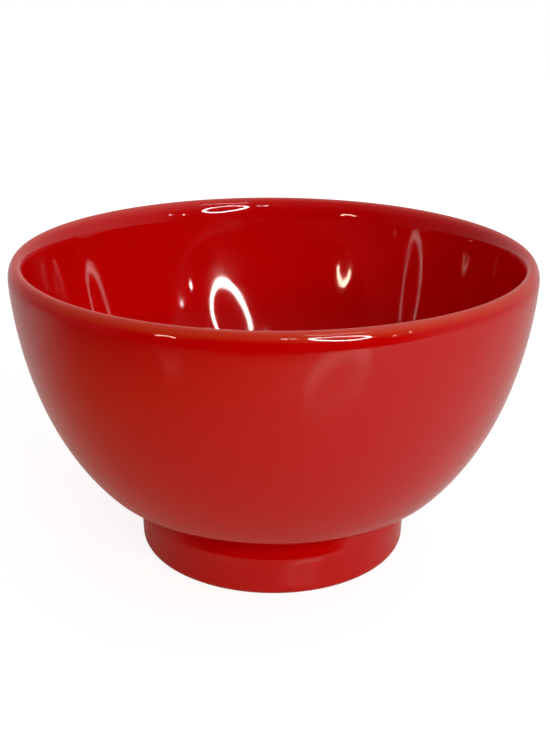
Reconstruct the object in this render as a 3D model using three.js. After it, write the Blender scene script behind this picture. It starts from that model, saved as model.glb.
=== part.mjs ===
// Footed cereal bowl: one fired earthenware body and the coats of red glaze fused to it.
// Millimetres, +Z up. Z is the bowl's axis, and the foot stands on z = 0.

import * as THREE from 'three';

// The finished bowl, measured over the glaze
const rimDiameter = 150;
const bowlHeight = 89.6;
const lipThickness = 5.6;
const glazeThickness = 0.3;

// Lip: from the crown a short shoulder falls to the rim, which is the widest place, and a longer
// one to the inside wall. Each pull is the length of a handle of one of the section's curves.
const crownInset = 2.2;
const rimDrop = 4.4;
const rimCrownPull = 1.35;
const rimShoulderPull = 1.9;
const insideDrop = 6.75;
const insideLean = 7.5;
const insideCrownPull = 2.6;
const insideShoulderPull = 1.45;

// Belly and inside wall, from the turn under the belly up to the lip
const turnDiameter = 104;
const turnHeight = 22.7;
const turnRounding = 9;
const turnWall = 6;
const bellySlope = 48;
const bellyPull = 31;
const rimPull = 1.5;
const insideFootPull = 16.5;
const insideTopPull = 18.2;

// Floor of the inside
const floorThickness = 6.5;
const floorEdgePull = 9;
const floorPull = 24;

// Underside and waist, between the belly and the foot. A corner's size here and below is that of
// the sharp corner, which is then rounded.
const undersideSlope = 20;
const waistDiameter = 78.6;
const waistRounding = 3;

// Foot ring: a band that leans in towards the table, hollow underneath
const bandDiameter = 84.2;
const bandHeight = 12.9;
const bandRounding = 2;
const baseDiameter = 79.6;
const baseRounding = 1.9;
const ringThickness = 5.2;
const ringInnerRounding = 1.5;
const wellDraft = 1.2;
const wellDepth = 11;
const wellRounding = 3;
const wellDome = 0.6;

// Facets: round the bowl, and along each curve of its section
const ringSteps = 48;
const floorSteps = 5;
const insideSteps = 8;
const shoulderSteps = 4;
const bellySteps = 9;
const degreesPerStep = 30;
const bareSteps = 1;

const redGlaze = new THREE.MeshStandardMaterial({ color: 0xb0140f, roughness: 0.12, metalness: 0 });
const firedClay = new THREE.MeshStandardMaterial({ color: 0xe6d9c3, roughness: 0.85, metalness: 0 });

const point = (radius, height) => new THREE.Vector2(radius, height);
const heading = (degrees) => {
  const angle = THREE.MathUtils.degToRad(degrees);
  return new THREE.Vector2(Math.cos(angle), Math.sin(angle));
};
const leftOf = (direction) => new THREE.Vector2(-direction.y, direction.x);
const stepped = (from, direction, distance) => from.clone().addScaledVector(direction, distance);

// A line through the section in (radius, height). Walking along it, the bowl's wall is on the right
// and the air on the left, so each station keeps its place and the direction that faces the air.
class Outline {
  constructor(start) {
    this.end = start;
    this.stations = [];
  }

  get last() {
    return this.stations.length - 1;
  }

  follow(curve, steps) {
    for (let i = this.stations.length ? 1 : 0; i <= steps; i++) {
      const at = curve.getPoint(i / steps);
      this.stations.push({ at, out: leftOf(curve.getTangent(i / steps)) });
    }
    this.end = curve.getPoint(1);
  }

  line(to) {
    this.follow(new THREE.LineCurve(this.end, to), 1);
  }

  curve(firstHandle, secondHandle, to, steps) {
    this.follow(new THREE.CubicBezierCurve(this.end, firstHandle, secondHandle, to), steps);
  }

  // Turns on an arc from the way it heads now, to the left for a positive angle in degrees
  arc(radius, into, degrees) {
    const side = Math.sign(degrees);
    const centre = stepped(this.end, leftOf(into), side * radius);
    const from = this.end.clone().sub(centre).angle();
    const to = from + THREE.MathUtils.degToRad(degrees);
    const steps = Math.max(2, Math.ceil(Math.abs(degrees) / degreesPerStep));
    this.follow(new THREE.EllipseCurve(centre.x, centre.y, radius, radius, from, to, side < 0), steps);
  }

  // Runs straight to a corner and rounds it off towards the next point, within the two sides' room
  corner(at, next, rounding) {
    const into = at.clone().sub(this.end).normalize();
    const away = next.clone().sub(at).normalize();
    const turn = Math.atan2(into.cross(away), into.dot(away));
    const spread = Math.tan(Math.abs(turn) / 2);
    const room = Math.min(at.distanceTo(this.end), at.distanceTo(next)) / 2;
    const reach = Math.min(rounding * spread, room);
    this.line(stepped(at, into, -reach));
    this.arc(reach / spread, into, THREE.MathUtils.radToDeg(turn));
  }
}

// Places on the section
const rimRadius = rimDiameter / 2;
const rim = point(rimRadius, bowlHeight - rimDrop);
const crown = point(rimRadius - crownInset, bowlHeight);
const belly = heading(bellySlope);
const turnCorner = point(turnDiameter / 2, turnHeight);
const turnReach = turnRounding * Math.tan(THREE.MathUtils.degToRad(bellySlope - undersideSlope) / 2);
const bellyFoot = stepped(turnCorner, belly, turnReach);
const insideFoot = stepped(bellyFoot, leftOf(belly), turnWall);
const insideTop = point(rimRadius - lipThickness, bowlHeight - insideDrop);
const insideRise = heading(90 - insideLean);
const floorCentre = point(0, wellDepth + floorThickness);
const waistRadius = waistDiameter / 2;
const undersideFall = (turnCorner.x - waistRadius) * Math.tan(THREE.MathUtils.degToRad(undersideSlope));
const waistCorner = point(waistRadius, turnHeight - undersideFall);
const bandCorner = point(bandDiameter / 2, bandHeight);

// The glaze is wiped off the face that the bowl stands on. The outline runs past that face by the
// glaze it lacks, so the clay under it comes out at z = 0.
const standingLevel = -glazeThickness;
const baseCorner = point(baseDiameter / 2, standingLevel);
const wellMouth = point(baseCorner.x - ringThickness, standingLevel);
const wellCorner = point(wellMouth.x - wellDraft, wellDepth - wellDome);
const wellCentre = point(0, wellDepth);

// The whole section, from the floor's centre over the lip and round the foot to the axis again
const section = new Outline(floorCentre);
section.curve(
  stepped(floorCentre, heading(0), floorPull),
  stepped(insideFoot, belly, -floorEdgePull),
  insideFoot,
  floorSteps,
);
section.curve(
  stepped(insideFoot, belly, insideFootPull),
  stepped(insideTop, insideRise, -insideTopPull),
  insideTop,
  insideSteps,
);
section.curve(
  stepped(insideTop, insideRise, insideShoulderPull),
  stepped(crown, heading(180), insideCrownPull),
  crown,
  shoulderSteps,
);
const lipCrown = section.last;
section.curve(
  stepped(crown, heading(0), rimCrownPull),
  stepped(rim, heading(90), rimShoulderPull),
  rim,
  shoulderSteps,
);
section.curve(
  stepped(rim, heading(-90), rimPull),
  stepped(bellyFoot, belly, bellyPull),
  bellyFoot,
  bellySteps,
);
section.arc(turnRounding, belly.clone().negate(), undersideSlope - bellySlope);
section.corner(waistCorner, bandCorner, waistRounding);
section.corner(bandCorner, baseCorner, bandRounding);
section.corner(baseCorner, wellMouth, baseRounding);
const outerGlazeLine = section.last - bareSteps;
const standingFaceEnd = section.last + 1;
const wellGlazeLine = standingFaceEnd + bareSteps;
section.corner(wellMouth, wellCorner, ringInnerRounding);
section.corner(wellCorner, wellCentre, wellRounding);
section.line(wellCentre);

const onAxis = (place) => place.x === 0;

// The clay lies a glaze's thickness under the outline
function claySurface({ at, out }) {
  const clay = stepped(at, out, -glazeThickness);
  return onAxis(at) ? point(0, clay.y) : clay;
}

// A coat's closed loop: along the clay, and back over the glaze. Glaze thins out to nothing at a
// glaze line, and ends square where it meets another coat.
function coatLoop(first, last) {
  const covered = section.stations.slice(first, last + 1);
  const glazed = covered.filter((station, i) => ![outerGlazeLine, wellGlazeLine].includes(first + i));
  return [...covered.map(claySurface), ...glazed.map(({ at }) => at).reverse()];
}

// Starts and ends a loop on the axis, or closes it on itself where it stays clear of the axis
function closed(loop) {
  const start = loop.findIndex((place, i) => onAxis(place) && onAxis(loop.at(i - 1)));
  return start < 0 ? [...loop, loop[0]] : [...loop.slice(start), ...loop.slice(0, start)];
}

// A coat's loop goes along the clay the way the clay's own loop does, so their facets match. The
// two loops then wind opposite ways, and the faces of the clockwise one are turned over.
function revolve(loop) {
  const geometry = new THREE.LatheGeometry(closed(loop), ringSteps).rotateX(Math.PI / 2);
  if (THREE.ShapeUtils.area(loop) < 0) {
    const { index } = geometry;
    for (let i = 0; i < index.count; i += 3) {
      const corner = index.getX(i);
      index.setX(i, index.getX(i + 1));
      index.setX(i + 1, corner);
    }
    geometry.computeVertexNormals();
  }
  return geometry;
}

const bowl = new THREE.Group();

function addPiece(name, loop, material) {
  const piece = new THREE.Mesh(revolve(loop), material);
  piece.name = name;
  bowl.add(piece);
}

addPiece('clay_body', section.stations.map(claySurface), firedClay);
addPiece('inner_glaze', coatLoop(0, lipCrown), redGlaze);
addPiece('outer_glaze', coatLoop(lipCrown, outerGlazeLine), redGlaze);
addPiece('foot_well_glaze', coatLoop(wellGlazeLine, section.last), redGlaze);

export default bowl;
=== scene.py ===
"""Footed cereal bowl: a fired earthenware body under a high-gloss red glaze, on a white table.

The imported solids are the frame. Every piece of the bowl is turned again here from the same
section, with a foot nearer to the real one's, fine facets, the slight unevenness of fired ware and
rounded edges where the glaze ends.
"""

from __future__ import annotations

import logging
import math
from collections.abc import Mapping, Sequence
from dataclasses import dataclass, field
from enum import Enum

import bpy
import numpy as np
from bpy.types import Material, Mesh, Node, NodeSocket, NodeTree, Object
from mathutils import Matrix, Vector

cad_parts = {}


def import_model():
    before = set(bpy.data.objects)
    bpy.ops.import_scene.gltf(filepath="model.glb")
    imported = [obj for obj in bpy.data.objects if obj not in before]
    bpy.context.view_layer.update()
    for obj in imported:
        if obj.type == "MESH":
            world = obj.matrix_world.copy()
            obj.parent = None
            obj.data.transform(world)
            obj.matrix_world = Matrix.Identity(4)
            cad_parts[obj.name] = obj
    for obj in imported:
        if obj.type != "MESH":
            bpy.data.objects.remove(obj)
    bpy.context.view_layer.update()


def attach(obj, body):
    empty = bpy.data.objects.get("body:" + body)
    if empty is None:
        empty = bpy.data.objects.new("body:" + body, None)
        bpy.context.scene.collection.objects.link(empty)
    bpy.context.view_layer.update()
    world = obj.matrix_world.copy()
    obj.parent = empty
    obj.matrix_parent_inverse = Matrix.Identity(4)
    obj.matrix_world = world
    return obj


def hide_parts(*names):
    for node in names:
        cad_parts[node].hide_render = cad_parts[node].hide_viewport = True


log = logging.getLogger("cereal_bowl")

METRES = 0.001  # one millimetre
LIP_CENTRE = Vector((0.0, 0.0, 85.0))  # the middle of the bowl's mouth, in millimetres
IMAGE_HEIGHT = 733  # pixels on the frame's long side
WAVE_BANDS = 20  # how many bands Blender's wave texture draws in one unit at a scale of 1
NEITHER_THIN_NOR_POOLED = 0.5  # the middle of the pooling scale, for faces out of sight
NEARLY_ZERO = 1e-9  # in millimetres, and smaller than anything but rounding


def linear(colour: str) -> tuple[float, float, float, float]:
    """Turns an sRGB colour into the linear values that a shader works in.

    Args:
        colour: The colour as "#rrggbb".

    Returns:
        Linear red, green and blue, and an alpha of 1.
    """
    parts = [int(colour[i : i + 2], 16) / 255 for i in (1, 3, 5)]
    red, green, blue = (
        part / 12.92 if part <= 0.04045 else ((part + 0.055) / 1.055) ** 2.4 for part in parts
    )
    return red, green, blue, 1.0


def add(
    tree: NodeTree,
    kind: str,
    inputs: Mapping[str | int, object] | Sequence[object] = (),
    stops: Sequence[tuple[float, Sequence[float]]] = (),
    **settings: object,
) -> Node:
    """Adds a shader node with its settings, and links or sets its inputs.

    Args:
        tree: The node tree that the node goes into.
        kind: The node's type without its leading "ShaderNode".
        inputs: The socket to link or the value to set for each input, by its name or number, or
            for all inputs in order.
        stops: A ramp's stops in rising order, each with its position and linear colour.
        **settings: Properties of the node itself.

    Returns:
        The new node.
    """
    node = tree.nodes.new("ShaderNode" + kind)
    for name, value in settings.items():
        setattr(node, name, value)
    for i, (position, colour) in enumerate(stops):
        elements = node.color_ramp.elements
        stop = elements[i] if i < len(elements) else elements.new(position)
        stop.position, stop.color = position, colour
    for name, source in inputs.items() if isinstance(inputs, Mapping) else enumerate(inputs):
        socket = node.inputs[name]
        if isinstance(source, NodeSocket):
            tree.links.new(source, socket)
        else:
            socket.default_value = source
    return node


def add_mesh(
    name: str, points: Sequence[Sequence[float]], faces: Sequence[tuple[int, ...]]
) -> Object:
    """Makes an object and links it into the scene.

    Args:
        name: The object's name.
        points: The mesh's points in millimetres.
        faces: The numbers of each face's points.

    Returns:
        The object.
    """
    mesh = bpy.data.meshes.new(name)
    mesh.from_pydata([[part * METRES for part in point] for point in points], [], faces)
    made = bpy.data.objects.new(name, mesh)
    bpy.context.scene.collection.objects.link(made)
    return made


def per_mm(size: float) -> float:
    """Gives the scale of a texture in object space with features this many millimetres wide."""
    return 1 / (size * METRES)


def empty_material(name: str) -> Material:
    """Makes a material with an empty node tree.

    Args:
        name: The material's name.

    Returns:
        The material.
    """
    material = bpy.data.materials.new(name)
    material.use_nodes = True
    material.node_tree.nodes.clear()
    return material


def heading(degrees: float) -> np.ndarray:
    """Gives the unit direction in the section that lies this far above level, outwards."""
    return np.array([math.cos(math.radians(degrees)), math.sin(math.radians(degrees))])


def left_of(direction: np.ndarray) -> np.ndarray:
    """Turns a direction a quarter turn to the left."""
    return np.array([-direction[1], direction[0]])


def unit(direction: np.ndarray) -> np.ndarray:
    """Scales a direction to length 1."""
    return direction / np.linalg.norm(direction)


class Surface(Enum):
    """The parts of the bowl's surface, by the solid that each one belongs to."""

    CLAY = "clay_body"
    INSIDE = "inner_glaze"
    OUTSIDE = "outer_glaze"
    FOOT_WELL = "foot_well_glaze"


class Slot(Enum):
    """The record's material slots."""

    CLAY = "fired_clay"
    GLAZE = "red_glaze"


class Outline:
    """A line through the section, walked with the wall on its right and the air on its left."""

    def __init__(self, start: np.ndarray) -> None:
        """Starts the line.

        Args:
            start: Its first point, as radius and height.
        """
        self.end = start
        self.places: list[np.ndarray] = []
        self.outward: list[np.ndarray] = []

    @property
    def last(self) -> int:
        """The number of the last station."""
        return len(self.places) - 1

    def put(self, place: np.ndarray, along: np.ndarray) -> None:
        """Adds a station, and the direction that faces the air there.

        Args:
            place: The station.
            along: The direction in which the line passes it.
        """
        self.places.append(place)
        self.outward.append(left_of(unit(along)))
        self.end = place

    def line(self, to: np.ndarray, step: float) -> None:
        """Runs straight to a point.

        Args:
            to: The point.
            step: About how long each step is, in millimetres.
        """
        start, along = self.end, to - self.end
        count = max(1, math.ceil(np.linalg.norm(along) / step))
        for i in range(0 if not self.places else 1, count + 1):
            self.put(start + along * i / count, along)

    def curve(self, first: np.ndarray, second: np.ndarray, to: np.ndarray, step: float) -> None:
        """Follows a cubic curve with two handles to a point.

        Args:
            first: The handle at the start.
            second: The handle at the end.
            to: Where the curve ends.
            step: About how long each step is, in millimetres.
        """
        start = self.end
        count = math.ceil(np.linalg.norm(to - start) / step)
        for i in range(0 if not self.places else 1, count + 1):
            t = i / count
            u = 1 - t
            place = u**3 * start + 3 * u * u * t * first + 3 * u * t * t * second + t**3 * to
            along = u * u * (first - start) + 2 * u * t * (second - first) + t * t * (to - second)
            self.put(place, along)

    def arc(self, radius: float, into: np.ndarray, degrees: float, degrees_per_step: float) -> None:
        """Turns on an arc, to the left for a positive angle.

        Args:
            radius: The arc's radius.
            into: The direction in which the line heads as it starts.
            degrees: How far it turns.
            degrees_per_step: The most that it turns in one step.
        """
        side = math.copysign(1, degrees)
        centre = self.end + left_of(into) * side * radius
        spoke = self.end - centre
        count = max(2, math.ceil(abs(degrees) / degrees_per_step))
        for i in range(1, count + 1):
            angle = math.radians(degrees) * i / count
            cosine, sine = math.cos(angle), math.sin(angle)
            turn = np.array([[cosine, -sine], [sine, cosine]])
            self.put(centre + turn @ spoke, turn @ into)

    def corner(
        self, at: np.ndarray, onward: np.ndarray, rounding: float, step: float, degrees: float
    ) -> None:
        """Runs to a corner and rounds it off towards the next point, within the two sides' room.

        Args:
            at: The sharp corner.
            onward: The point that the line makes for after it.
            rounding: The corner's radius.
            step: About how long each straight step is.
            degrees: The most that the rounding turns in one step.
        """
        into, away = unit(at - self.end), unit(onward - at)
        turn = math.atan2(into[0] * away[1] - into[1] * away[0], into @ away)
        spread = math.tan(abs(turn) / 2)
        room = min(np.linalg.norm(at - self.end), np.linalg.norm(onward - at)) / 2
        reach = min(rounding * spread, room)
        self.line(at - into * reach, step)
        self.arc(reach / spread, into, math.degrees(turn), degrees)


@dataclass(frozen=True)
class BowlSizes:
    """The finished bowl in millimetres and degrees, measured over the glaze.

    A pull is how far the handle of a curve reaches.
    """

    rim_diameter: float = 150.0
    height: float = 89.6
    lip_thickness: float = 5.6
    glaze_thickness: float = 0.3
    crown_inset: float = 2.2
    rim_drop: float = 4.4
    rim_crown_pull: float = 1.35
    rim_shoulder_pull: float = 1.9
    inside_drop: float = 6.75
    inside_lean: float = 7.5
    inside_crown_pull: float = 2.6
    inside_shoulder_pull: float = 1.45
    turn_diameter: float = 104.0
    turn_height: float = 22.7
    turn_rounding: float = 9.0
    turn_wall: float = 6.0
    belly_slope: float = 48.0
    belly_pull: float = 31.0
    rim_pull: float = 1.5
    inside_foot_pull: float = 16.5
    inside_top_pull: float = 18.2
    floor_thickness: float = 6.5
    floor_edge_pull: float = 9.0
    floor_pull: float = 24.0
    underside_slope: float = 20.0
    waist_diameter: float = 77.0
    waist_rounding: float = 2.0
    band_diameter: float = 81.2
    band_height: float = 10.7
    band_rounding: float = 7.0
    base_diameter: float = 80.4
    base_rounding: float = 2.3
    ring_thickness: float = 5.6
    ring_inner_rounding: float = 1.5
    well_draft: float = 1.2
    well_depth: float = 11.0
    well_rounding: float = 3.0
    well_dome: float = 0.6


@dataclass(frozen=True)
class Unevenness:
    """How far fired ware strays from a true turned form.

    It is a slow waver of well under a tenth of a millimetre, always into the wall, and it bends
    the lamps' reflections a little. Each wave has its share, how often it comes round the axis,
    its length down the wall and where it starts.
    """

    depth: float = 0.07
    level_below: float = 3.0
    full_over: float = 8.0
    waves: tuple[tuple[float, int, float, float], ...] = (
        (0.36, 2, 90.0, 0.4),
        (0.26, 3, 61.0, 2.1),
        (0.20, 5, 37.0, 4.4),
        (0.18, 8, 23.0, 1.3),
    )

    def inward(self, azimuth: np.ndarray, along: np.ndarray, height: np.ndarray) -> np.ndarray:
        """Gives how far the surface is drawn in, in millimetres.

        Args:
            azimuth: Angles round the axis, in radians, as a row.
            along: Distances along the section, in millimetres, as a column.
            height: Heights of the stations, in millimetres, as a column.

        Returns:
            One value for each station and angle. It is 0 near the foot, so the bowl stands flat.
        """
        total = sum(
            share * np.sin(count * azimuth + 2 * np.pi * along / length + start)
            for share, count, length, start in self.waves
        )
        share = np.clip((height - self.level_below) / self.full_over, 0, 1)
        return self.depth * (1 + total) / 2 * share


@dataclass(frozen=True)
class BowlSection:
    """The bowl's whole section, and the finished surface and the clay under it all round.

    Steps and widths are in millimetres, and the two steps of a rounding in degrees.
    """

    sizes: BowlSizes = field(default_factory=BowlSizes)
    unevenness: Unevenness = field(default_factory=Unevenness)
    ring_steps: int = 192
    step: float = 1.1
    fine_step: float = 0.5
    shoulder_step: float = 0.3
    degrees_per_step: float = 6.0
    fine_degrees: float = 2.0
    bare_steps: int = 5
    edge_width: float = 0.8
    drain: float = 0.6
    pooling_reach: float = 1.6
    pooling_gain: float = 4.0
    places: np.ndarray = field(init=False, repr=False)
    outward: np.ndarray = field(init=False, repr=False)
    along: np.ndarray = field(init=False, repr=False)
    marks: dict[str, int] = field(init=False, repr=False)

    def __post_init__(self) -> None:
        """Draws the section once, and keeps it as arrays."""
        outline, marks = self._draw()
        places, outward = np.array(outline.places), np.array(outline.outward)
        along = np.concatenate([[0.0], np.cumsum(np.linalg.norm(np.diff(places, axis=0), axis=1))])
        drawn = {"places": places, "outward": outward, "along": along, "marks": marks}
        for name, value in drawn.items():
            object.__setattr__(self, name, value)

    def _draw(self) -> tuple[Outline, dict[str, int]]:
        """Draws from the floor's centre over the lip and round the foot to the axis again.

        Returns:
            The outline, and the stations at the lip's crown and at the two lines where glaze ends.
        """
        s = self.sizes
        belly = heading(s.belly_slope)
        rim = np.array([s.rim_diameter / 2, s.height - s.rim_drop])
        crown = np.array([rim[0] - s.crown_inset, s.height])
        turn_corner = np.array([s.turn_diameter / 2, s.turn_height])
        turn_reach = s.turn_rounding * math.tan(math.radians(s.belly_slope - s.underside_slope) / 2)
        belly_foot = turn_corner + belly * turn_reach
        inside_foot = belly_foot + left_of(belly) * s.turn_wall
        inside_top = np.array([rim[0] - s.lip_thickness, s.height - s.inside_drop])
        inside_rise = heading(90 - s.inside_lean)
        floor_centre = np.array([0, s.well_depth + s.floor_thickness])
        waist = s.waist_diameter / 2
        fall = (turn_corner[0] - waist) * math.tan(math.radians(s.underside_slope))
        waist_corner = np.array([waist, s.turn_height - fall])
        band_corner = np.array([s.band_diameter / 2, s.band_height])
        base_corner = np.array([s.base_diameter / 2, -s.glaze_thickness])
        well_mouth = base_corner - np.array([s.ring_thickness, 0])
        well_corner = np.array([well_mouth[0] - s.well_draft, s.well_depth - s.well_dome])
        well_centre = np.array([0, s.well_depth])
        up, level = heading(90), heading(0)

        outline = Outline(floor_centre)
        outline.curve(
            floor_centre + level * s.floor_pull,
            inside_foot - belly * s.floor_edge_pull,
            inside_foot,
            self.step,
        )
        outline.curve(
            inside_foot + belly * s.inside_foot_pull,
            inside_top - inside_rise * s.inside_top_pull,
            inside_top,
            self.step,
        )
        outline.curve(
            inside_top + inside_rise * s.inside_shoulder_pull,
            crown - level * s.inside_crown_pull,
            crown,
            self.shoulder_step,
        )
        crown_station = outline.last
        outline.curve(
            crown + level * s.rim_crown_pull,
            rim + up * s.rim_shoulder_pull,
            rim,
            self.shoulder_step,
        )
        outline.curve(
            rim - up * s.rim_pull, belly_foot + belly * s.belly_pull, belly_foot, self.step
        )
        outline.arc(
            s.turn_rounding, -belly, s.underside_slope - s.belly_slope, self.degrees_per_step / 2
        )
        rounding = (self.fine_step, self.degrees_per_step)
        outline.corner(waist_corner, band_corner, s.waist_rounding, *rounding)
        outline.corner(band_corner, base_corner, s.band_rounding, self.fine_step, self.fine_degrees)
        outline.corner(base_corner, well_mouth, s.base_rounding, *rounding)
        outer_line = outline.last - self.bare_steps
        bare_end = outline.last
        outline.corner(well_mouth, well_corner, s.ring_inner_rounding, *rounding)
        well_line = bare_end + self._count_level(outline, bare_end) + self.bare_steps
        outline.corner(well_corner, well_centre, s.well_rounding, *rounding)
        outline.line(well_centre, self.step)
        return outline, {"crown": crown_station, "outer_line": outer_line, "well_line": well_line}

    @staticmethod
    def _count_level(outline: Outline, start: int) -> int:
        """Counts the steps of the level face that begins at a station."""
        heights = [place[1] for place in outline.places[start:]]
        return sum(1 for height in heights[1:] if abs(height - heights[0]) < NEARLY_ZERO)

    @property
    def azimuths(self) -> np.ndarray:
        """The angles of the stations round the axis."""
        return np.linspace(0, 2 * np.pi, self.ring_steps, endpoint=False)

    def coat_depth(self) -> np.ndarray:
        """Gives how thick the glaze lies.

        Returns:
            One value for each station: full, rounded off towards a line, and 0 on bare clay.
        """
        outer, well = self.marks["outer_line"], self.marks["well_line"]
        beyond = np.maximum(self.along[outer] - self.along, self.along - self.along[well])
        share = np.clip(beyond / self.edge_width, 0, 1)
        return self.sizes.glaze_thickness * np.sqrt(1 - (1 - share) ** 2)

    def pooling(self) -> np.ndarray:
        """Gives how thick the molten glaze settled at each station: 0 on a crest, 1 in a hollow.

        Returns:
            One value for each station, moved outwards a little because the coat drained that way.
        """
        turn = np.unwrap(np.arctan2(self.outward[:, 1], self.outward[:, 0]))
        bend = np.gradient(turn, self.along)
        reach = np.abs(self.along[:, None] - self.along[None, :])
        weight = np.exp(-((reach / self.pooling_reach) ** 2)) * np.gradient(self.along)[None, :]
        smooth = (weight * bend[None, :]).sum(1) / weight.sum(1)
        drained = np.interp(self.along - self.drain, self.along, smooth)
        return 0.5 + 0.5 * np.tanh(self.pooling_gain * drained)

    def grid(self, over_clay: np.ndarray) -> np.ndarray:
        """Turns the section round the axis.

        Args:
            over_clay: How far the surface lies over the clay at each station, in millimetres.

        Returns:
            Points in millimetres, as stations by angles by three.
        """
        clay = self.places - self.outward * self.sizes.glaze_thickness
        profile = clay + self.outward * over_clay[:, None]
        on_axis = self.places[:, 0] < NEARLY_ZERO
        inward = self.unevenness.inward(
            self.azimuths[None, :], self.along[:, None], self.places[:, 1:]
        )
        radius = profile[:, :1] - self.outward[:, :1] * inward
        height = profile[:, 1:] - self.outward[:, 1:] * inward
        radius[on_axis] = 0
        height[on_axis] = height[on_axis].mean(axis=1, keepdims=True)
        points = [radius * np.cos(self.azimuths), radius * np.sin(self.azimuths), height]
        return np.stack(np.broadcast_arrays(*points), axis=-1)

    def normals(self, grid: np.ndarray, first: int, last: int, low: int, high: int) -> np.ndarray:
        """Gives the directions that face the air on some rows of a grid.

        Args:
            grid: The points, as stations by angles by three.
            first: The first row wanted.
            last: The last row wanted.
            low: The first row that belongs to the same smooth surface.
            high: The last row that belongs to it.

        Returns:
            Unit directions, as rows by angles by three.
        """
        rows = slice(max(first - 1, low), min(last + 1, high) + 1)
        part = grid[rows]
        down = np.gradient(part, self.along[rows], axis=0)
        round_axis = np.roll(part, -1, axis=1) - np.roll(part, 1, axis=1)
        facing = np.cross(down, round_axis)
        length = np.linalg.norm(facing, axis=-1, keepdims=True)
        on_axis = length[..., 0] < NEARLY_ZERO
        facing = facing / np.where(length < NEARLY_ZERO, 1, length)
        middle = np.broadcast_to(self.outward[rows][:, None, :], (*facing.shape[:2], 2))
        facing[on_axis] = np.stack([np.zeros(on_axis.sum())] * 2 + [middle[on_axis][:, 1]], axis=-1)
        start = first - rows.start
        return facing[start : start + last - first + 1]


@dataclass(frozen=True)
class Shell:
    """A closed body of revolution: rows of points from one end of its section to the other."""

    rows: list[np.ndarray]
    facing: list[np.ndarray | None]
    pooling: list[float]

    def build(self, name: str) -> Object:
        """Makes the mesh, with smooth directions on the rows that have them.

        Args:
            name: The new object's name.

        Returns:
            The object, linked into the scene.
        """
        starts, points, values = [], [], []
        for row, value in zip(self.rows, self.pooling, strict=True):
            starts.append(len(points))
            points += row.tolist() if not self._is_pole(row) else [row[0].tolist()]
            values += [value] * (len(points) - starts[-1])
        faces, owners = self._faces(starts)
        made = add_mesh(name, points, faces)
        mesh = made.data
        depth = mesh.attributes.new("pooling", "FLOAT", "POINT")
        depth.data.foreach_set("value", np.array(values, np.float32))
        mesh.polygons.foreach_set("use_smooth", np.ones(len(faces), bool))
        self._set_normals(mesh, starts, faces, owners)
        mesh.validate()
        return made

    @staticmethod
    def _is_pole(row: np.ndarray) -> bool:
        """Tells whether a row's points all lie together on the axis."""
        return bool(np.ptp(row, axis=0).max() < NEARLY_ZERO)

    def _faces(self, starts: list[int]) -> tuple[list[tuple[int, ...]], list[tuple[int, int]]]:
        """Joins each row to the next one, and the last to the first where neither is on the axis.

        Args:
            starts: The number of each row's first point.

        Returns:
            The faces, and the pair of rows that each face joins.
        """
        count = max(len(row) for row in self.rows)
        poles = [self._is_pole(row) for row in self.rows]
        pairs = [(i, (i + 1) % len(self.rows)) for i in range(len(self.rows))]
        faces, owners = [], []
        for a, b in pairs:
            if poles[a] and poles[b]:
                continue
            for j in range(count):
                k = (j + 1) % count
                upper = [starts[a]] if poles[a] else [starts[a] + k, starts[a] + j]
                lower = [starts[b]] if poles[b] else [starts[b] + j, starts[b] + k]
                faces.append((*upper, *lower))
                owners.append((a, b))
        return faces, owners

    def _set_normals(
        self,
        mesh: Mesh,
        starts: list[int],
        faces: list[tuple[int, ...]],
        owners: list[tuple[int, int]],
    ) -> None:
        """Gives every corner of a shown face its row's direction, and leaves the rest as they are.

        Args:
            mesh: The mesh to change.
            starts: The number of each row's first point.
            faces: The mesh's faces.
            owners: The pair of rows that each face joins.
        """
        directions = []
        for face, (a, b) in zip(faces, owners, strict=True):
            shown = self.facing[a] is not None and self.facing[b] is not None and abs(a - b) == 1
            for corner in face:
                if not shown:
                    directions.append((0.0, 0.0, 0.0))
                    continue
                row = b if corner >= starts[b] else a
                directions.append(tuple(self.facing[row][corner - starts[row]]))
        mesh.normals_split_custom_set(directions)


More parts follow.
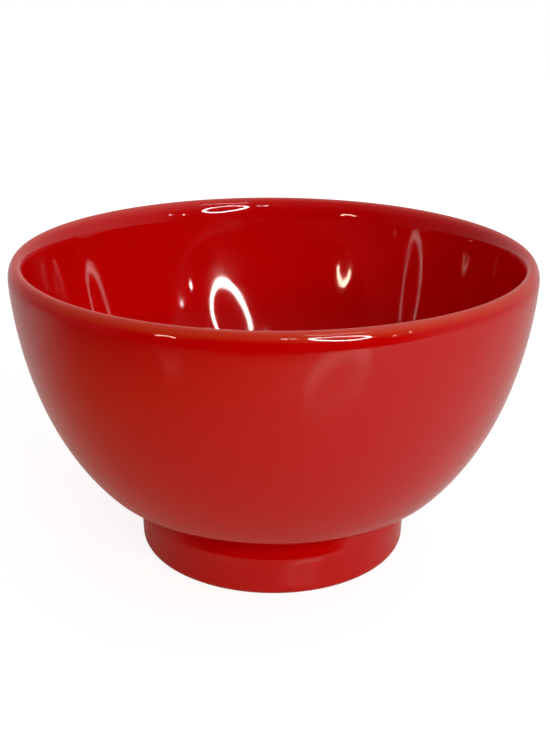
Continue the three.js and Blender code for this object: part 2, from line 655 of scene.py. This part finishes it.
@dataclass(frozen=True)
class RedGlaze:
    """Opaque cadmium-red earthenware glaze, poured and dipped, then fired to a full gloss.

    The eye sees a deep even red with mirror-sharp lamps in it. The coat runs thin over the lip,
    where it looks a little lighter, and pools a little deeper in the hollow over the foot. Where
    each of the three reds holds is given on the pooling scale, from 0 on a crest to 1 in a hollow.
    """

    body: str = "#c50303"
    thin: str = "#c62e12"
    pooled: str = "#c00204"
    thin_to: float = 0.02
    body_from: float = 0.14
    body_to: float = 0.58
    pooled_from: float = 0.92
    drift: float = 0.03
    cloud_mm: float = 22.0
    cloud_range: tuple[float, float] = (0.3, 0.7)
    ior: float = 1.5
    roughness: tuple[float, float] = (0.035, 0.075)
    smear_mm: float = 9.0
    smear_range: tuple[float, float] = (0.35, 0.7)
    ripple_mm: float = 3.2
    ripple_height_mm: float = 0.0022
    pit_spacing_mm: float = 7.0
    pit_mm: float = 0.22
    pit_floor: float = 0.3
    pit_share: float = 0.12
    pit_depth_mm: float = 0.05

    def material(self) -> Material:
        """Builds the glaze's material.

        Returns:
            The material, in object space, for every coat.
        """
        material = empty_material("earthenware_glaze_red_fired")
        tree = material.node_tree
        place = add(tree, "TexCoord").outputs["Object"]
        pooling = add(tree, "Attribute", attribute_name="pooling").outputs["Fac"]
        colour = self._colour(tree, place, pooling)
        smear = add(
            tree, "TexNoise", {"Vector": place, "Scale": per_mm(self.smear_mm), "Detail": 3.0}
        )
        roughness = add(tree, "MapRange", (smear.outputs[0], *self.smear_range, *self.roughness))
        shader = add(
            tree,
            "BsdfPrincipled",
            {
                "Base Color": colour,
                "Roughness": roughness.outputs[0],
                "IOR": self.ior,
                "Normal": self._relief(tree, place),
            },
        )
        add(tree, "OutputMaterial", {"Surface": shader.outputs[0]})
        return material

    def _colour(self, tree: NodeTree, place: NodeSocket, pooling: NodeSocket) -> NodeSocket:
        """Shades the red by the coat's thickness, and clouds it very softly.

        Args:
            tree: The material's nodes.
            place: Object coordinates.
            pooling: How thick the glaze settled, from 0 to 1.

        Returns:
            The colour's socket.
        """
        cloud = add(
            tree, "TexNoise", {"Vector": place, "Scale": per_mm(self.cloud_mm), "Detail": 2.0}
        )
        drift = add(
            tree, "MapRange", (cloud.outputs[0], *self.cloud_range, -self.drift, self.drift)
        )
        thickness = add(tree, "Math", (pooling, drift.outputs[0]), operation="ADD", use_clamp=True)
        stops = (
            (self.thin_to, linear(self.thin)),
            (self.body_from, linear(self.body)),
            (self.body_to, linear(self.body)),
            (self.pooled_from, linear(self.pooled)),
        )
        return add(tree, "ValToRGB", (thickness.outputs[0],), stops).outputs[0]

    def _relief(self, tree: NodeTree, place: NodeSocket) -> NodeSocket:
        """Adds the soft ripple of a melted coat and a few pinholes from escaping gas.

        Args:
            tree: The material's nodes.
            place: Object coordinates.

        Returns:
            The bumped normal's socket.
        """
        ripple = add(
            tree, "TexNoise", {"Vector": place, "Scale": per_mm(self.ripple_mm), "Detail": 1.5}
        )
        rippled = add(
            tree,
            "Bump",
            {
                "Height": ripple.outputs[0],
                "Distance": self.ripple_height_mm * METRES,
                "Strength": 1.0,
            },
        )
        cells = add(tree, "TexVoronoi", {"Vector": place, "Scale": per_mm(self.pit_spacing_mm)})
        chosen = add(tree, "Math", (cells.outputs["Color"], self.pit_share), operation="LESS_THAN")
        edge = self.pit_mm / self.pit_spacing_mm
        hollow = add(
            tree,
            "MapRange",
            (cells.outputs["Distance"], edge * self.pit_floor, edge, -1.0, 0.0),
            interpolation_type="SMOOTHSTEP",
        )
        pits = add(tree, "Math", (hollow.outputs[0], chosen.outputs[0]), operation="MULTIPLY")
        pitted = add(
            tree,
            "Bump",
            {
                "Height": pits.outputs[0],
                "Distance": self.pit_depth_mm * METRES,
                "Strength": 1.0,
                "Normal": rippled.outputs[0],
            },
        )
        return pitted.outputs[0]


@dataclass(frozen=True)
class FiredClay:
    """Cream earthenware, jigger-turned, biscuit-fired and sponged where the glaze was wiped off.

    The eye sees a dry, chalky ring with fine rings from the wheel and a few darker grains.
    """

    body: str = "#e4d5bb"
    shade: str = "#d3bf9f"
    grain_colour: str = "#a98d6b"
    roughness: float = 0.88
    ior: float = 1.5
    cloud_mm: float = 6.0
    grain_mm: float = 0.9
    grain_edge: tuple[float, float] = (0.12, 0.2)
    grain_share: float = 0.16
    grit_mm: float = 0.35
    grit_height_mm: float = 0.02
    wheel_mm: float = 0.8
    wheel_height_mm: float = 0.015

    def material(self) -> Material:
        """Builds the bare clay's material.

        Returns:
            The material, in object space.
        """
        material = empty_material("earthenware_biscuit_sponged")
        tree = material.node_tree
        place = add(tree, "TexCoord").outputs["Object"]
        cloud = add(
            tree, "TexNoise", {"Vector": place, "Scale": per_mm(self.cloud_mm), "Detail": 4.0}
        )
        tone = add(
            tree,
            "Mix",
            {0: cloud.outputs[0], 6: linear(self.body), 7: linear(self.shade)},
            data_type="RGBA",
        )
        cells = add(tree, "TexVoronoi", {"Vector": place, "Scale": per_mm(self.grain_mm)})
        speck = add(tree, "MapRange", (cells.outputs["Distance"], *self.grain_edge, 1.0, 0.0))
        rare = add(tree, "Math", (cells.outputs["Color"], self.grain_share), operation="LESS_THAN")
        specks = add(tree, "Math", (speck.outputs[0], rare.outputs[0]), operation="MULTIPLY")
        colour = add(
            tree,
            "Mix",
            {0: specks.outputs[0], 6: tone.outputs[2], 7: linear(self.grain_colour)},
            data_type="RGBA",
        )
        shader = add(
            tree,
            "BsdfPrincipled",
            {
                "Base Color": colour.outputs[2],
                "Roughness": self.roughness,
                "IOR": self.ior,
                "Normal": self._relief(tree, place),
            },
        )
        add(tree, "OutputMaterial", {"Surface": shader.outputs[0]})
        return material

    def _relief(self, tree: NodeTree, place: NodeSocket) -> NodeSocket:
        """Adds the wheel's fine rings and the grit of bare clay.

        Args:
            tree: The material's nodes.
            place: Object coordinates.

        Returns:
            The bumped normal's socket.
        """
        rings = add(
            tree,
            "TexWave",
            {
                "Vector": place,
                "Scale": per_mm(self.wheel_mm) / WAVE_BANDS,
                "Distortion": 1.5,
                "Detail": 2.0,
                "Detail Scale": 1.2,
            },
            wave_type="RINGS",
            rings_direction="Z",
        )
        turned = add(
            tree,
            "Bump",
            {
                "Height": rings.outputs[0],
                "Distance": self.wheel_height_mm * METRES,
                "Strength": 1.0,
            },
        )
        grit = add(
            tree, "TexNoise", {"Vector": place, "Scale": per_mm(self.grit_mm), "Detail": 3.0}
        )
        gritty = add(
            tree,
            "Bump",
            {
                "Height": grit.outputs[0],
                "Distance": self.grit_height_mm * METRES,
                "Strength": 1.0,
                "Normal": turned.outputs[0],
            },
        )
        return gritty.outputs[0]


@dataclass(frozen=True)
class Bowl:
    """The bowl: the fired clay body and the three coats of glaze fused to it."""

    section: BowlSection = field(default_factory=BowlSection)
    glaze: RedGlaze = field(default_factory=RedGlaze)
    clay: FiredClay = field(default_factory=FiredClay)

    def build(self) -> dict[Surface, Object]:
        """Turns the clay body and each coat.

        Returns:
            The new piece for each of the bowl's solids.
        """
        section, marks = self.section, self.section.marks
        end = len(section.places) - 1
        finished = section.grid(section.coat_depth())
        clay = section.grid(np.zeros(end + 1))
        pooled = section.pooling().tolist()
        spans = {
            Surface.INSIDE: (0, marks["crown"], 0, marks["outer_line"]),
            Surface.OUTSIDE: (marks["crown"], marks["outer_line"], 0, marks["outer_line"]),
            Surface.FOOT_WELL: (marks["well_line"], end, marks["well_line"], end),
        }
        pieces: dict[Surface, Object] = {}
        body = Shell(list(clay), list(section.normals(clay, 0, end, 0, end)), pooled)
        pieces[Surface.CLAY] = body.build("bowl_clay_body")
        for surface, (first, last, low, high) in spans.items():
            rows = [finished[i] for i in range(first, last + 1)]
            under = [clay[i] for i in range(last, first - 1, -1)]
            facing = list(section.normals(finished, first, last, low, high))
            values = pooled[first : last + 1]
            # where a coat thins out to nothing, its face and its back share one row of points
            if first == marks["well_line"]:
                under = under[:-1]
            if last == marks["outer_line"]:
                under = under[1:]
            hidden = len(under)
            values += [NEITHER_THIN_NOR_POOLED] * hidden
            coat = Shell(rows + under, facing + [None] * hidden, values)
            pieces[surface] = coat.build(f"bowl_{surface.value}_coat")
        return pieces

    def dress(self, pieces: dict[Surface, Object]) -> None:
        """Gives each piece its finish, and its place in the frame.

        Args:
            pieces: The piece for each of the bowl's solids.
        """
        glaze, clay = self.glaze.material(), self.clay.material()
        for surface, piece in pieces.items():
            is_clay = surface is Surface.CLAY
            piece.data.materials.append(clay if is_clay else glaze)
            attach(piece, "root")
            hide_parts(surface.value)
            log.info("%s: %d faces, for %s", piece.name, len(piece.data.polygons), surface.value)


@dataclass(frozen=True)
class WhiteTable:
    """A white lacquered board, wide enough for the bowl and its shadow.

    The eye sees plain white paper-like ground with the bowl's soft shadow on it. The glaze sees a
    satin board with light and shade painted into its colour: painted dark from a hand's breadth in
    front of the bowl as if the board ended there, a painted warm pool of the left lamp's light that
    darkens further left, and painted paler light behind the bowl. It lies a hair below the foot,
    which leaves that free. Each painted tone holds at a distance from the bowl's axis, measured
    along `painted_light_towards`.
    """

    left: float = -600.0
    right: float = 600.0
    front: float = -300.0
    back: float = 1400.0
    # painted light: the left lamp's warm light on the white board, and darker shade further left
    painted_light_tones: tuple[tuple[float, str], ...] = (
        (-280.0, "#7a4a34"),
        (-150.0, "#ff9e6c"),
        (-50.0, "#f3cbb4"),
        (30.0, "#e8dcd6"),
    )
    painted_light_towards: tuple[float, float, float] = (0.87, 0.5, 0.0)
    # painted light: the board is paler behind the bowl
    painted_back_light: str = "#e8dcd6"
    back_from: float = -70.0
    back_full: float = 90.0
    sunk: float = 0.05
    # painted shade: the board's front darkens to near black, as if it ended in a dim room
    painted_edge_shade: str = "#1c1c1c"
    painted_shade_from: float = -225.0
    roughness: float = 0.21
    ior: float = 1.5
    gloss: float = 0.14
    shown_light: float = 0.86
    shown_share: str = "#8e8e8e"
    fade_from: float = 160.0
    fade_to: float = 500.0

    def build(self) -> Object:
        """Makes the board's top, just under the foot's standing face.

        Returns:
            The board.
        """
        corners = [
            (self.left, self.front),
            (self.right, self.front),
            (self.right, self.back),
            (self.left, self.back),
        ]
        points = [(x, y, -self.sunk) for x, y in corners]
        return add_mesh("white_table", points, [(0, 1, 2, 3)])

    def dress(self, table: Object) -> None:
        """Gives the board its lacquer with painted light and shade, and a white that keeps the
        shadow for the camera.

        Args:
            table: The board.
        """
        material = empty_material("board_lacquer_painted_lamplight_and_shade")
        tree = material.node_tree
        place = add(tree, "TexCoord").outputs["Object"]
        # painted light: the lacquer's colour warms where the left lamp would light it and darkens
        # beyond
        across = add(tree, "VectorMath", (place, self.painted_light_towards), operation="DOT_PRODUCT")
        start, end = self.painted_light_tones[0][0], self.painted_light_tones[-1][0]
        along = add(tree, "MapRange", (across.outputs["Value"], start * METRES, end * METRES))
        stops = [
            ((distance - start) / (end - start), linear(colour)) for distance, colour in self.painted_light_tones
        ]
        tone = add(tree, "ValToRGB", (along.outputs[0],), stops)
        ahead = add(tree, "SeparateXYZ", (place,)).outputs["Y"]
        # painted light: the lacquer turns paler behind the bowl
        behind = add(
            tree,
            "MapRange",
            (ahead, self.back_from * METRES, self.back_full * METRES),
            interpolation_type="SMOOTHSTEP",
        )
        painted_paler_light = add(
            tree,
            "Mix",
            {0: behind.outputs[0], 6: tone.outputs[0], 7: linear(self.painted_back_light)},
            data_type="RGBA",
        )
        # painted shade: the front of the board fades to near black
        painted_shade_mask = add(
            tree,
            "MapRange",
            (ahead, self.front * METRES, self.painted_shade_from * METRES, 1.0, 0.0),
            interpolation_type="SMOOTHSTEP",
        )
        painted_light_and_shade = add(
            tree,
            "Mix",
            {0: painted_shade_mask.outputs[0], 6: painted_paler_light.outputs[2], 7: linear(self.painted_edge_shade)},
            data_type="RGBA",
        )
        lacquer = add(
            tree,
            "BsdfPrincipled",
            {
                "Base Color": painted_light_and_shade.outputs[2],
                "Roughness": self.roughness,
                "IOR": self.ior,
                "Specular IOR Level": self.gloss,
            },
        )
        matt = add(tree, "BsdfDiffuse", {"Color": linear(self.shown_share)})
        from_bowl = add(tree, "VectorMath", (place,), operation="LENGTH").outputs["Value"]
        light = add(
            tree,
            "MapRange",
            (from_bowl, self.fade_from * METRES, self.fade_to * METRES, self.shown_light, 1.0),
            interpolation_type="SMOOTHSTEP",
        )
        glow = add(tree, "Emission", {"Strength": light.outputs[0]})
        shown = add(tree, "AddShader", (matt.outputs[0], glow.outputs[0]))
        seen = add(tree, "LightPath").outputs["Is Camera Ray"]
        choice = add(tree, "MixShader", (seen, lacquer.outputs[0], shown.outputs[0]))
        add(tree, "OutputMaterial", {"Surface": choice.outputs[0]})
        table.data.materials.append(material)
        log.info("%s: %.2f m deep", table.name, (self.back - self.front) * METRES)


@dataclass(frozen=True)
class Room:
    """The room round the table: warm on the left, pale elsewhere, and dark behind the camera.

    Each level is the light from one heading round the table, in degrees from straight ahead
    towards the right. Where there are two, the first is the red, for a warm stretch of wall. The
    walls' levels hold at eye height and the upper ones above it.
    """

    walls: tuple[tuple[float, ...], ...] = (
        (-180, 0.0),
        (-127, 0.0),
        (-110, 0.3, 0.06),
        (-84, 0.45, 0.14),
        (-61, 0.6, 0.24),
        (-46, 0.85, 0.4),
        (-25, 0.85, 0.45),
        (0, 0.8, 0.46),
        (40, 0.5, 0.48),
        (90, 0.41),
        (112, 0.25),
        (130, 0.02),
        (140, 0.0),
        (180, 0.0),
    )
    upper: tuple[tuple[float, ...], ...] = (
        (-180, 0.2),
        (-130, 0.15),
        (-90, 0.38),
        (-40, 0.6),
        (20, 0.95),
        (90, 0.9),
        (112, 0.75),
        (140, 0.6),
        (165, 0.25),
        (180, 0.2),
    )
    zenith: float = 0.6
    wall_top: float = 0.24
    upper_from: float = 0.88
    zenith_from: float = 0.9
    zenith_full: float = 0.995

    def build(self) -> None:
        """Sets the world: the room for light and gloss, and plain white for the camera."""
        world = bpy.data.worlds.new("pale_room")
        world.use_nodes = True
        tree = world.node_tree
        tree.nodes.clear()
        way = add(tree, "SeparateXYZ", (add(tree, "TexCoord").outputs["Generated"],)).outputs
        azimuth = add(tree, "Math", (way["X"], way["Y"]), operation="ARCTAN2")
        turn = add(tree, "MapRange", (azimuth.outputs[0], -math.pi, math.pi))
        walls, upper = (
            add(tree, "ValToRGB", (turn.outputs[0],), self._stops(levels)).outputs[0]
            for levels in (self.walls, self.upper)
        )
        height, overhead = (
            add(tree, "MapRange", (way["Z"], low, high), interpolation_type="SMOOTHSTEP").outputs[0]
            for low, high in (
                (self.wall_top, self.upper_from),
                (self.zenith_from, self.zenith_full),
            )
        )
        sides = add(tree, "Mix", {0: height, 6: walls, 7: upper}, data_type="RGBA")
        level = add(
            tree,
            "Mix",
            {0: overhead, 6: sides.outputs[2], 7: (self.zenith,) * 3 + (1.0,)},
            data_type="RGBA",
        )
        light = add(tree, "Background", {"Color": level.outputs[2], "Strength": 1.0})
        white = add(tree, "Background", {"Color": linear("#ffffff"), "Strength": 1.0})
        rays = add(tree, "LightPath").outputs
        plain = add(
            tree, "Math", (rays["Is Camera Ray"], rays["Is Transmission Ray"]), operation="MAXIMUM"
        )
        choice = add(tree, "MixShader", (plain.outputs[0], light.outputs[0], white.outputs[0]))
        add(tree, "OutputWorld", {"Surface": choice.outputs[0]})
        bpy.context.scene.world = world

    @staticmethod
    def _stops(levels: tuple[tuple[float, ...], ...]) -> list[tuple[float, tuple[float, ...]]]:
        """Turns levels of light into the stops of a ramp that runs once round the room.

        Args:
            levels: Headings in degrees, and the light from each.

        Returns:
            Each stop's position and colour.
        """
        return [
            ((degrees + 180) / 360, (light[0], light[-1], light[-1], 1.0))
            for degrees, *light in levels
        ]


@dataclass(frozen=True, kw_only=True)
class Light:
    """An evenly lit opal diffuser, which the eye sees only as a clean shape in the glaze."""

    name: str
    strength: float
    colour: str = "#ffffff"

    def dress(self, surface: Object) -> None:
        """Lights the surface and hides it from the camera.

        Args:
            surface: The surface.
        """
        material = empty_material(f"{self.name}_diffuser_lit")
        tree = material.node_tree
        glow = add(tree, "Emission", {"Color": linear(self.colour), "Strength": self.strength})
        add(tree, "OutputMaterial", {"Surface": glow.outputs[0]})
        surface.data.materials.append(material)
        surface.visible_camera = False
        log.info("%s: %.0f mm across", self.name, max(surface.dimensions) / METRES)


@dataclass(frozen=True, kw_only=True)
class Lamp(Light):
    """A tube bent into a ring or an open arch, with `facing` square to its plane."""

    centre: tuple[float, float, float]
    radius: float
    tube: float
    facing: tuple[float, float, float]
    arc: float = 360.0
    steps: int

    def build(self) -> Object:
        """Makes the lit side of the tube as a band that faces the bowl all the way along.

        Returns:
            The lamp.
        """
        closed = self.arc >= 360
        total = self.steps if closed else self.steps + 1
        centre = Vector(self.centre)
        axis = Vector(self.facing).normalized()
        side = Vector((0, 0, 1)).cross(axis).normalized()
        rise = axis.cross(side)
        points = []
        for i in range(total):
            angle = math.radians(self.arc * (i / self.steps - 0.5) + 90)
            spoke = side * math.cos(angle) + rise * math.sin(angle)
            along = rise * math.cos(angle) - side * math.sin(angle)
            middle = centre + spoke * self.radius
            across = along.cross(middle - LIP_CENTRE).normalized() * self.tube / 2
            points += [middle - across, middle + across]
        faces = [
            (2 * i, 2 * i + 1, (2 * i + 3) % (2 * total), (2 * i + 2) % (2 * total))
            for i in range(total if closed else total - 1)
        ]
        return add_mesh(self.name, points, faces)


@dataclass(frozen=True, kw_only=True)
class Panel(Light):
    """A flat lamp or window that faces the bowl, placed by its heading and height in degrees."""

    azimuth: float
    elevation: float
    distance: float
    width: float
    height: float

    def build(self) -> Object:
        """Makes the panel.

        Returns:
            The panel.
        """
        turn, rise = math.radians(self.azimuth), math.radians(self.elevation)
        level = math.cos(rise)
        away = Vector((math.sin(turn) * level, math.cos(turn) * level, math.sin(rise)))
        side = Vector((0, 0, 1)).cross(away).normalized()
        up = away.cross(side)
        middle = LIP_CENTRE + away * self.distance
        across, above = side * self.width / 2, up * self.height / 2
        corners = [middle - across - above, middle + across - above]
        corners += [middle + across + above, middle - across + above]
        return add_mesh(self.name, corners, [(0, 1, 2, 3)])


@dataclass(frozen=True)
class Viewpoint:
    """The camera's place and aim, in millimetres and degrees."""

    position: tuple[float, float, float] = (0.49, -307.73, 169.12)
    down: float = 20.54
    roll: float = 0.34
    focal_pixels: float = 1100.0
    sensor: float = 36.0

    def place(self) -> Object:
        """Makes the camera and gives it to the scene.

        Returns:
            The camera.
        """
        data = bpy.data.cameras.new("viewpoint")
        data.sensor_width = self.sensor
        data.lens = self.sensor * self.focal_pixels / IMAGE_HEIGHT
        data.clip_start, data.clip_end = 0.01, 20.0
        down, roll = math.radians(self.down), math.radians(self.roll)
        ahead = Vector((0, math.cos(down), -math.sin(down)))
        above = Vector((0, math.sin(down), math.cos(down)))
        across = Vector((1, 0, 0))
        right = math.cos(roll) * across + math.sin(roll) * above
        up = math.cos(roll) * above - math.sin(roll) * across
        camera = bpy.data.objects.new("viewpoint", data)
        bpy.context.scene.collection.objects.link(camera)
        turn = Matrix((right, up, -ahead)).transposed()
        camera.matrix_world = Matrix.Translation(Vector(self.position) * METRES) @ turn.to_4x4()
        bpy.context.scene.camera = camera
        return camera


LAMPS = (
    Lamp(
        name="ring_lamp",
        centre=(518.0, -977.0, 585.0),
        radius=256.0,
        tube=36.0,
        facing=(-0.04, -0.97, -0.26),
        strength=49.0,
        colour="#fffaf4",
        steps=96,
    ),
    Lamp(
        name="arch_lamp",
        centre=(-391.0, -456.0, 178.0),
        radius=40.0,
        tube=14.0,
        facing=(-0.65, -0.76, 0.0),
        strength=38.0,
        colour="#ffdcc4",
        arc=150.0,
        steps=32,
    ),
    Lamp(
        name="bulb_low",
        centre=(1376.0, -1222.0, 488.0),
        radius=10.0,
        tube=20.0,
        facing=(0.73, -0.68, 0.0),
        strength=60.0,
        steps=16,
    ),
    Lamp(
        name="bulb_high",
        centre=(1467.0, -990.0, 550.0),
        radius=10.0,
        tube=20.0,
        facing=(0.82, -0.57, 0.0),
        strength=60.0,
        steps=16,
    ),
)

PANELS = tuple(
    Panel(
        name=name,
        azimuth=azimuth,
        elevation=elevation,
        distance=distance,
        width=width,
        height=height,
        strength=strength,
    )
    for name, azimuth, elevation, distance, width, height, strength in (
        ("panel_right", 137.0, 48.5, 1500.0, 130.0, 180.0, 4.0),
        ("panel_middle", 160.5, 52.0, 1500.0, 92.0, 262.0, 4.0),
        ("panel_between", 148.7, 49.5, 1500.0, 300.0, 60.0, 14.0),
        ("window_near", 171.7, 31.3, 2000.0, 77.0, 200.0, 6.0),
        ("window_far", 175.5, 31.3, 2000.0, 77.0, 200.0, 12.0),
    )
)


def main() -> None:
    """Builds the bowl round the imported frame, then the table, the room, lamps and camera."""
    logging.basicConfig(level=logging.INFO, format="%(name)s: %(message)s")
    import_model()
    bowl = Bowl()
    bowl.dress(bowl.build())
    table = WhiteTable()
    table.dress(table.build())
    Room().build()
    for lamp in LAMPS + PANELS:
        lamp.dress(lamp.build())
    Viewpoint().place()
    bpy.context.scene.view_settings.view_transform = "Standard"


if __name__ == "__main__":
    main()
